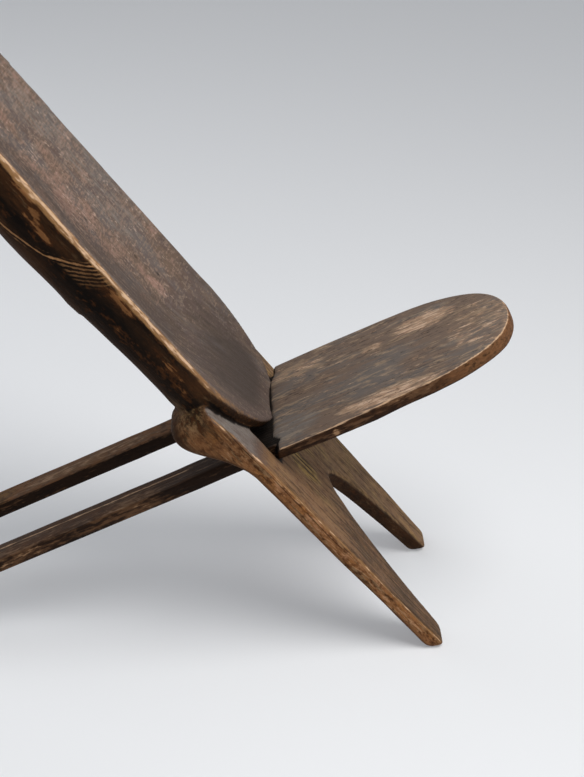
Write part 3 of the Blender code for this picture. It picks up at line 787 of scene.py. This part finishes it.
def paintSeat(under, seatGapShadow, edge):
    # the same fields as on the back plank, without scores and cracks
    mesh, wear, m, t = seatPlank.data, seatWear, seatMarks, seatTones
    points, normals = readPoints(mesh), readPoints(mesh, "normal")
    along, across = points.T[:2]
    bulge = bulgeOf(mesh, seatVoxel)
    top = markAt(m["top"], normals[:, 2])
    behind = markAt(m["behind"], along - edge)
    onBoard = 1 - behind
    far = across > 0
    outwards = np.hypot(np.clip(normals[:, 1] * np.sign(across), 0, 1), np.clip(normals[:, 0], 0, 1))
    nose = markAt(m["nose"], along)
    # painted shadow on the board's rear face, which looks into the gap under the lip
    rearFaceShadow = onBoard * markAt(m["rearFaceShadow"], -normals[:, 0])
    fromRidge = np.abs(across + carving["ridgeAcross"])
    ridge = behind * markAt(m["ridge"], along) * (1 - markAt(m["offRidge"], fromRidge))
    legTop = (t["legTop"] + t["farLegTop"] * far) * top * markAt(m["legTop"], along)
    soot = onBoard * (t["soot"] - t["sootNose"] * nose + t["sootUnder"] * under)
    soot += behind * (t["sootTail"] - legTop)
    warmth = onBoard * (t["warm"] + t["warmNose"] * nose)
    warmth += behind * (t["warmTail"] + t["warmFarLeg"] * top * far)
    rim = edgeLine(normals, outwards, t["edgeFrom"]) * markAt(m["sharp"], bulge) * onBoard * (1 - seatGapShadow)
    # painted shade: darker in hollow corners
    corners = t["hollowShade"] * markAt(m["hollow"], -bulge)
    storeFields(mesh, {
        "plank": points,
        "face": top * (1 - behind * (t["tailFace"] + t["farTailFace"] * far)),
        "soot": soot,
        "warmth": warmth,
        "moss": patchField(points, wear["gold"]),
        "bloom": top * onBoard * patchField(points, wear["bloom"]),
        "worn": np.maximum(patchField(points, wear["worn"]), t["worn"] * onBoard),
        "edge": np.maximum(rim, t["ridge"] * ridge * top),
        # dark knots, and painted shade in hollows, on the rear face and in the gap behind the board
        "grimeAndShade": np.max([corners, t["seatGapShadow"] * seatGapShadow, rearFaceShadow, patchField(points, wear["knots"])], axis=0),
    })


paintBack(*carveBack())
paintSeat(*carveSeat())
print("planks carved and their wear stored")


def linear(hexColour):
    # sRGB hex to linear light
    parts = np.array([int(hexColour[i:i + 2], 16) for i in (1, 3, 5)]) / 255
    return (*np.where(parts <= 0.04045, parts / 12.92, ((parts + 0.055) / 1.055) ** 2.4), 1.0)


def addNode(tree, kind, links=None, **settings):
    # one node with its settings. Links: each input's name or number, and the socket or value that goes to it
    node = tree.nodes.new(kind)
    for key, value in settings.items():
        setattr(node, key, value)
    for key, value in (links or {}).items():
        if isinstance(value, bpy.types.NodeSocket):
            tree.links.new(value, node.inputs[key])
        else:
            node.inputs[key].default_value = value
    return node


# Old hardwood, hewn and hand-rubbed: grey and matt where it is sat on, near black with smoke and grease at
# the sides, orange-brown where hands rub through, and pale tan along the edges. Grains: length, width and
# depth of their lumps in millimetres, and how many finer noises are added. Real fibres are finer: these are
# drawn coarse enough to show
woodGrains = {
    "grain": ((90, 6.5, 6.5), 4.0), "fibre": ((24, 3.0, 3.0), 3.0), "fleck": ((17, 4.5, 4.5), 3.0),
    "mottle": ((11, 6, 6), 4.0), "tint": ((50, 30, 30), 3.0), "cloud": ((110, 50, 50), 3.0),
    "speck": ((5, 2.6, 2.6), 1.0), "scrape": ((2.6, 12, 12), 2.0),
}
woodFields = ("face", "soot", "warmth", "moss", "bloom", "worn", "edge", "grimeAndShade", "scored", "cracked")
woodLook = {
    "driftSpan": (150, 60, 60), "driftDetail": 2.0, "drift": (0.0, 0.010, 0.010), "noiseRoughness": 0.6,
    "bump": 0.8, "bumpDepth": 0.0022, "dullGrain": 0.25,
}
mathNode = "ShaderNodeMath"
vectorNode = "ShaderNodeVectorMath"
millimetres = 1000.0  # in a metre


def perMetre(span):
    # how many lumps of these millimetres go to a metre
    return [millimetres / size for size in span]


def hewnHardwood(name, finish):
    # each coat covers those before it by its share, where its weighted sum of fields and grains is high
    material = bpy.data.materials.new(name)
    material.use_nodes = True
    tree = material.node_tree
    shader = tree.nodes["Principled BSDF"]
    plank = addNode(tree, "ShaderNodeAttribute", attribute_name="plank").outputs["Vector"]
    used = set(finish["relief"])
    for paint, by, reach, cover, on in finish["coats"]:
        used.update(by, [on])
    signals = {}
    for field in woodFields:
        if field in used:
            signals[field] = addNode(tree, "ShaderNodeAttribute", attribute_name=field).outputs["Fac"]
    side = addNode(tree, mathNode, {0: 1.0, 1: signals["face"]}, operation="SUBTRACT")
    signals["side"] = side.outputs[0]

    # the grain wanders: a slow noise moves the places where the other noises are read
    spread = addNode(tree, "ShaderNodeMapping", {"Vector": plank, "Scale": perMetre(woodLook["driftSpan"])})
    drift = addNode(tree, "ShaderNodeTexNoise",
                    {"Vector": spread.outputs[0], "Scale": 1.0, "Detail": woodLook["driftDetail"]})
    drift = addNode(tree, vectorNode, {0: drift.outputs["Color"], 1: (0.5, 0.5, 0.5)}, operation="SUBTRACT")
    place = addNode(tree, vectorNode, {0: drift.outputs[0], 1: woodLook["drift"], 2: plank},
                    operation="MULTIPLY_ADD").outputs[0]
    for grain, (span, detail) in woodGrains.items():
        if grain not in used:
            continue
        spread = addNode(tree, "ShaderNodeMapping", {"Vector": place, "Scale": perMetre(span)})
        lumps = {"Vector": spread.outputs[0], "Scale": 1.0, "Detail": detail}
        lumps["Roughness"] = woodLook["noiseRoughness"]
        signals[grain] = addNode(tree, "ShaderNodeTexNoise", lumps).outputs["Fac"]

    # scores: millimetres off the nearest of many circles round one centre. The crack: off its level
    if "fromScore" in used:
        wear = backWear
        flat = addNode(tree, vectorNode, {0: place, 1: (1.0, 0.0, 1.0)}, operation="MULTIPLY")
        away = addNode(tree, vectorNode, {0: flat.outputs[0], 1: wear["scoreCentre"]}, operation="DISTANCE")
        middle = wear["scoreRadius"] + wear["scoreWobble"] / 2
        away = addNode(tree, mathNode, {0: away.outputs["Value"], 1: middle}, operation="SUBTRACT")
        wobble = {0: signals["tint"], 1: wear["scoreWobble"], 2: away.outputs[0]}
        away = addNode(tree, mathNode, wobble, operation="MULTIPLY_ADD")
        away = addNode(tree, mathNode, {0: away.outputs[0], 1: wear["scorePitch"] / 2}, operation="PINGPONG")
        away = addNode(tree, mathNode, {0: away.outputs[0], 1: millimetres}, operation="MULTIPLY")
        signals["fromScore"] = away.outputs[0]
        level = addNode(tree, "ShaderNodeSeparateXYZ", {0: place})
        away = addNode(tree, mathNode, {0: level.outputs[2], 1: wear["crackOut"]}, operation="SUBTRACT")
        away = addNode(tree, mathNode, {0: away.outputs[0]}, operation="ABSOLUTE")
        away = addNode(tree, mathNode, {0: away.outputs[0], 1: millimetres}, operation="MULTIPLY")
        signals["fromCrack"] = away.outputs[0]

    tone = linear(finish["base"])
    for paint, by, (low, high), cover, on in finish["coats"]:
        total = 0.0
        for signal, weight in by.items():
            terms = {0: signals[signal], 1: weight, 2: total}
            total = addNode(tree, mathNode, terms, operation="MULTIPLY_ADD").outputs[0]
        share = addNode(tree, "ShaderNodeMapRange", {"Value": total, "From Min": low, "From Max": high},
                        interpolation_type="SMOOTHSTEP")
        share = addNode(tree, mathNode, {0: share.outputs[0], 1: cover}, operation="MULTIPLY")
        if on:
            share = addNode(tree, mathNode, {0: share.outputs[0], 1: signals[on]}, operation="MULTIPLY")
        layers = {"Factor": share.outputs[0], 6: tone, 7: linear(paint)}
        tone = addNode(tree, "ShaderNodeMix", layers, data_type="RGBA").outputs[2]
    tree.links.new(tone, shader.inputs["Base Color"])

    relief = 0.0
    for signal, weight in finish["relief"].items():
        terms = {0: signals[signal], 1: weight, 2: relief}
        relief = addNode(tree, mathNode, terms, operation="MULTIPLY_ADD").outputs[0]
    bump = addNode(tree, "ShaderNodeBump",
                   {"Height": relief, "Strength": woodLook["bump"], "Distance": woodLook["bumpDepth"]})
    tree.links.new(bump.outputs[0], shader.inputs["Normal"])
    dull = {0: signals["grain"], 1: woodLook["dullGrain"], 2: finish["roughness"]}
    dull = addNode(tree, mathNode, dull, operation="MULTIPLY_ADD")
    tree.links.new(dull.outputs[0], shader.inputs["Roughness"])
    shader.inputs["Specular IOR Level"].default_value = finish["gloss"]
    return material


# Each coat: its paint, the weighted sum that places it, the sums where it starts and is full, the share that
# it covers there, and the field that it is kept to
backWood = hewnHardwood("hewn_hardwood_back", {
    "base": "#4a2e18", "roughness": 0.52, "gloss": 0.07,
    "relief": {"grain": 0.4, "fibre": 0.5, "mottle": 0.3, "speck": -0.3},
    "coats": [
        # hand-rubbed orange-brown, with golden and pale streaks along the grain
        ("#875d3c", {"warmth": 1.0, "grain": 0.7, "fibre": 0.5}, (0.95, 1.60), 1.0, None),
        ("#9a6534", {"warmth": 0.6, "tint": 0.6, "fibre": 0.5}, (1.08, 1.24), 0.70, None),
        ("#b98c69", {"warmth": 0.8, "fleck": 0.6, "fibre": 0.6}, (1.38, 1.54), 0.65, None),
        # olive where damp has stood, yellower in streaks, then dark streaks over both
        ("#907253", {"moss": 1.0, "tint": 0.5, "fibre": 0.5}, (0.60, 1.50), 0.95, None),
        ("#b0904a", {"moss": 0.9, "tint": 0.7, "fibre": 0.5}, (1.18, 1.60), 0.70, None),
        ("#b4926c", {"fibre": 0.7, "grain": 0.6}, (0.66, 0.80), 0.65, "warmth"),
        ("#5d3820", {"mottle": 0.7, "speck": 0.4}, (0.52, 0.66), 0.60, "warmth"),
        ("#2c1c0e", {"grain": 0.8, "tint": 0.3, "fibre": 0.3}, (0.70, 0.84), 0.60, "warmth"),
        ("#2c1f12", {"moss": 0.1, "grain": 0.7, "fibre": 0.5}, (0.64, 0.77), 0.85, "moss"),
        # smoke and grease, then the deepest black
        ("#1b1008", {"soot": 1.0, "mottle": 0.3, "grain": 0.5, "tint": 0.4}, (0.90, 1.40), 1.0, None),
        ("#080402", {"soot": 1.0, "cloud": 0.7, "fleck": 0.5}, (1.36, 1.60), 0.9, None),
        # brown rubbed through the black, in streaks
        ("#452813", {"worn": 0.20, "grain": 0.45, "mottle": 0.75}, (0.62, 0.78), 0.8, "side"),
        ("#845a37", {"worn": 0.30, "fibre": 0.6, "mottle": 0.5, "grain": 0.5}, (1.00, 1.14), 0.8, "side"),
        # grey sitting face: tan and mauve tints, dark streaks, pale and pinkish clouds, grit, specks
        ("#5e4f49", {"face": 1.0}, (0.0, 1.0), 1.0, None),
        ("#6d5c4e", {"tint": 0.9, "mottle": 0.2, "worn": 0.15}, (0.54, 0.70), 0.75, "face"),
        ("#686361", {"cloud": 0.6, "tint": -0.3, "mottle": 0.3}, (0.26, 0.42), 0.60, "face"),
        ("#4e443e", {"grain": 0.4, "scrape": 0.4, "mottle": 0.2, "worn": -0.15}, (0.43, 0.56), 0.80, "face"),
        ("#877568", {"worn": 0.08, "scrape": 0.5, "mottle": 0.5}, (0.50, 0.64), 0.60, "face"),
        ("#98766a", {"worn": 0.24, "tint": 0.4, "mottle": 0.3, "scrape": 0.3}, (0.60, 0.76), 0.60, "face"),
        ("#b8a192", {"worn": 0.14, "speck": 0.5, "fleck": 0.6}, (0.68, 0.82), 0.60, "face"),
        ("#463d38", {"soot": 1.0, "grain": 0.6, "fibre": 0.4}, (0.60, 1.50), 0.90, "face"),
        ("#7d7772", {"bloom": 0.8, "fibre": 0.9, "grain": 0.7}, (1.10, 1.70), 0.85, "face"),
        ("#2f2722", {"speck": -0.7, "mottle": 0.3}, (-0.11, -0.04), 0.30, "face"),
        # pale scores and edges, then cracks, then dark knots with painted shade in hollows, the slot and the
        # gaps
        ("#a67a52", {"fromScore": -0.8, "fleck": 2.4, "mottle": 1.2}, (0.60, 1.40), 0.90, "scored"),
        ("#8d6843", {"edge": 1.0, "fleck": 0.9, "grain": 0.9}, (1.24, 1.70), 0.85, None),
        ("#d4b393", {"edge": 1.0, "fleck": 1.0, "fibre": 0.9}, (1.72, 2.00), 0.85, None),
        ("#120a06", {"fromCrack": -1.0, "fleck": 1.8}, (0.05, 0.60), 0.65, "cracked"),
        ("#070403", {"grimeAndShade": 1.0}, (0.10, 0.90), 0.95, None),
    ],
})
seatWood = hewnHardwood("hewn_hardwood_seat", {
    "base": "#452b19", "roughness": 0.52, "gloss": 0.09,
    "relief": {"grain": 0.4, "fibre": 0.6, "mottle": 0.2, "speck": -0.3},
    "coats": [
        # brown edges with golden patches, under smoke and grease, rubbed through in flecks
        ("#7d5638", {"warmth": 1.0, "mottle": 0.7, "fibre": 0.5}, (0.85, 1.50), 1.0, None),
        ("#76592f", {"moss": 1.0, "mottle": 0.9}, (0.95, 1.50), 0.7, None),
        ("#39230f", {"warmth": 0.3, "mottle": 0.9, "fleck": 0.5}, (0.90, 1.06), 0.75, None),
        ("#25160c", {"soot": 1.0, "mottle": 0.8, "grain": 0.5}, (0.95, 1.40), 1.0, None),
        ("#0f0805", {"soot": 1.0, "cloud": 0.6, "fleck": 0.6}, (1.42, 1.66), 0.75, None),
        ("#6a4c35", {"worn": 0.30, "grain": 0.6, "fleck": 0.6}, (0.66, 0.84), 0.75, "side"),
        ("#a98563", {"worn": 0.50, "fleck": 0.7, "fibre": 0.5}, (0.92, 1.10), 0.8, "side"),
        # grey sitting face
        ("#6c5c51", {"face": 1.0}, (0.0, 1.0), 1.0, None),
        ("#4a3d36", {"grain": 0.6, "fibre": 0.5, "worn": -0.12}, (0.49, 0.60), 0.82, "face"),
        ("#636160", {"cloud": 0.6, "grain": 0.4}, (0.47, 0.58), 0.55, "face"),
        ("#968069", {"worn": 0.12, "fleck": 0.5, "grain": 0.5}, (0.53, 0.64), 0.70, "face"),
        ("#a4856c", {"worn": 0.22, "fibre": 0.5, "mottle": 0.5}, (0.60, 0.76), 0.75, "face"),
        ("#787470", {"bloom": 0.7, "fibre": 0.7, "grain": 0.7}, (0.95, 1.45), 0.6, "face"),
        ("#ceb29c", {"worn": 0.18, "fibre": 0.6, "fleck": 0.5}, (0.70, 0.82), 0.65, "face"),
        ("#2f2620", {"speck": 0.6, "fibre": 0.4}, (0.60, 0.68), 0.70, "face"),
        # pale edge line, then dark knots with painted shade in hollows and the gap behind the board
        ("#d0ac8a", {"edge": 1.0, "fleck": 0.9, "fibre": 0.5}, (1.28, 1.74), 0.8, None),
        ("#070403", {"grimeAndShade": 1.0}, (0.10, 0.90), 0.95, None),
    ],
})
for plank, axes, material, body, node, slot in (
    (backPlank, backAxes, backWood, "back", "back_plank", "back_wood"),
    (seatPlank, seatAxes, seatWood, "seat", "seat_plank", "seat_wood"),
):
    writePoints(plank.data, toRow(readPoints(plank.data), axes))
    plank.data.shade_smooth()
    plank.data.materials.append(material)
    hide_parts(node)
    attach(plank, body)
print("woods on both planks")

# Stage and light. Lamps: place and aim in metres, width of the disc, watts, colour, spread in degrees
studio = {
    "floorHalf": 120, "floorPaint": "#d3d5d8", "floorRoughness": 0.9, "floorGlow": "#f2f4f8",
    "floorSeen": 0.22, "sky": (0.8, 0.82, 0.85, 1), "skyLight": 0.30, "skySeen": 0.35,
    "lamps": {
        "key": ((0.9, -0.7, 2.4), (0.1, 0, 0.3), 1.7, 46, (1, 0.98, 0.95), 180),
        "fill": ((-1.8, -2.2, 1.5), (0, 0, 0.3), 2.0, 5, (0.95, 0.97, 1), 180),
        "rear": ((-2.0, 1.1, 1.7), (-0.1, 0, 0.4), 2.2, 16, (0.97, 0.98, 1), 180),
        "front": ((2.6, -0.9, 0.8), (0.2, 0, 0.2), 1.6, 2.4, (1, 0.98, 0.95), 60),
    },
}
half = studio["floorHalf"]
floorMesh = bpy.data.meshes.new("studio_floor")
corners = [(-half, -half, 0), (half, -half, 0), (half, half, 0), (-half, half, 0)]
floorMesh.from_pydata(corners, [], [(0, 1, 2, 3)])
studioFloor = bpy.data.objects.new("studio_floor", floorMesh)
bpy.context.scene.collection.objects.link(studioFloor)


def seenBy(tree):
    # 1 for what the camera sees, straight or in a mirror or glass, 0 for the light that falls on the chair
    path = addNode(tree, "ShaderNodeLightPath").outputs
    seen = {0: path["Is Glossy Ray"], 1: path["Is Transmission Ray"]}
    seen = addNode(tree, mathNode, seen, operation="MAXIMUM")
    seen = addNode(tree, mathNode, {0: path["Is Camera Ray"], 1: seen.outputs[0]}, operation="MAXIMUM")
    return seen.outputs[0]


# matt pale paint: a quiet floor that takes a soft shadow
paint = bpy.data.materials.new("matt_floor_paint")
paint.use_nodes = True
paintTree = paint.node_tree
paintShader = paintTree.nodes["Principled BSDF"]
paintShader.inputs["Base Color"].default_value = linear(studio["floorPaint"])
paintShader.inputs["Roughness"].default_value = studio["floorRoughness"]
paintShader.inputs["Emission Color"].default_value = linear(studio["floorGlow"])
glow = addNode(paintTree, mathNode, {0: seenBy(paintTree), 1: studio["floorSeen"]}, operation="MULTIPLY")
paintTree.links.new(glow.outputs[0], paintShader.inputs["Emission Strength"])
studioFloor.data.materials.append(paint)
for name, (place, aim, size, watts, colour, spread) in studio["lamps"].items():
    lamp = bpy.data.lights.new(name, "AREA")
    lamp.shape = "DISK"
    lamp.size = size
    lamp.energy = watts
    lamp.color = colour
    lamp.spread = math.radians(spread)
    holder = bpy.data.objects.new(name, lamp)
    holder.location = place
    holder.rotation_euler = (Vector(aim) - Vector(place)).to_track_quat("-Z", "Y").to_euler()
    bpy.context.scene.collection.objects.link(holder)
world = bpy.data.worlds.new("studio")
world.use_nodes = True
worldTree = world.node_tree
sky = worldTree.nodes["Background"]
sky.inputs["Color"].default_value = studio["sky"]
glow = {0: seenBy(worldTree), 1: studio["skySeen"], 2: studio["skyLight"]}
glow = addNode(worldTree, mathNode, glow, operation="MULTIPLY_ADD")
worldTree.links.new(glow.outputs[0], sky.inputs["Strength"])
bpy.context.scene.world = world
bpy.context.scene.view_settings.view_transform = "Standard"
print("studio lit")

# The camera: turned and raised in radians, with the lens in pixels of the picture
view = {
    "azimuth": math.radians(2.2247), "elevation": math.radians(29.1112), "roll": math.radians(0.5716),
    "distance": 2.1, "aim": (chair["crossX"] + 0.0262, 0.0, 0.3273),
    "focalPixels": 1600, "pictureHeight": 777, "sensor": 36.0,
}


def placeCamera():
    # back points from the aim to the camera. Right and up are square to it, rolled a little about it
    a, e, r = view["azimuth"], view["elevation"], view["roll"]
    back = Vector((-math.sin(a) * math.cos(e), -math.cos(a) * math.cos(e), math.sin(e)))
    right = Vector((math.cos(a), -math.sin(a), 0))
    up = back.cross(right)
    tiltedRight = right * math.cos(r) + up * math.sin(r)
    tiltedUp = up * math.cos(r) - right * math.sin(r)
    lens = bpy.data.cameras.new("camera")
    lens.sensor_width = view["sensor"]
    lens.lens = view["focalPixels"] / view["pictureHeight"] * view["sensor"]
    holder = bpy.data.objects.new("camera", lens)
    turn = Matrix((tiltedRight, tiltedUp, back)).transposed().to_4x4()
    holder.matrix_world = Matrix.Translation(Vector(view["aim"]) + back * view["distance"]) @ turn
    bpy.context.scene.collection.objects.link(holder)
    bpy.context.scene.camera = holder


placeCamera()
print("camera placed")
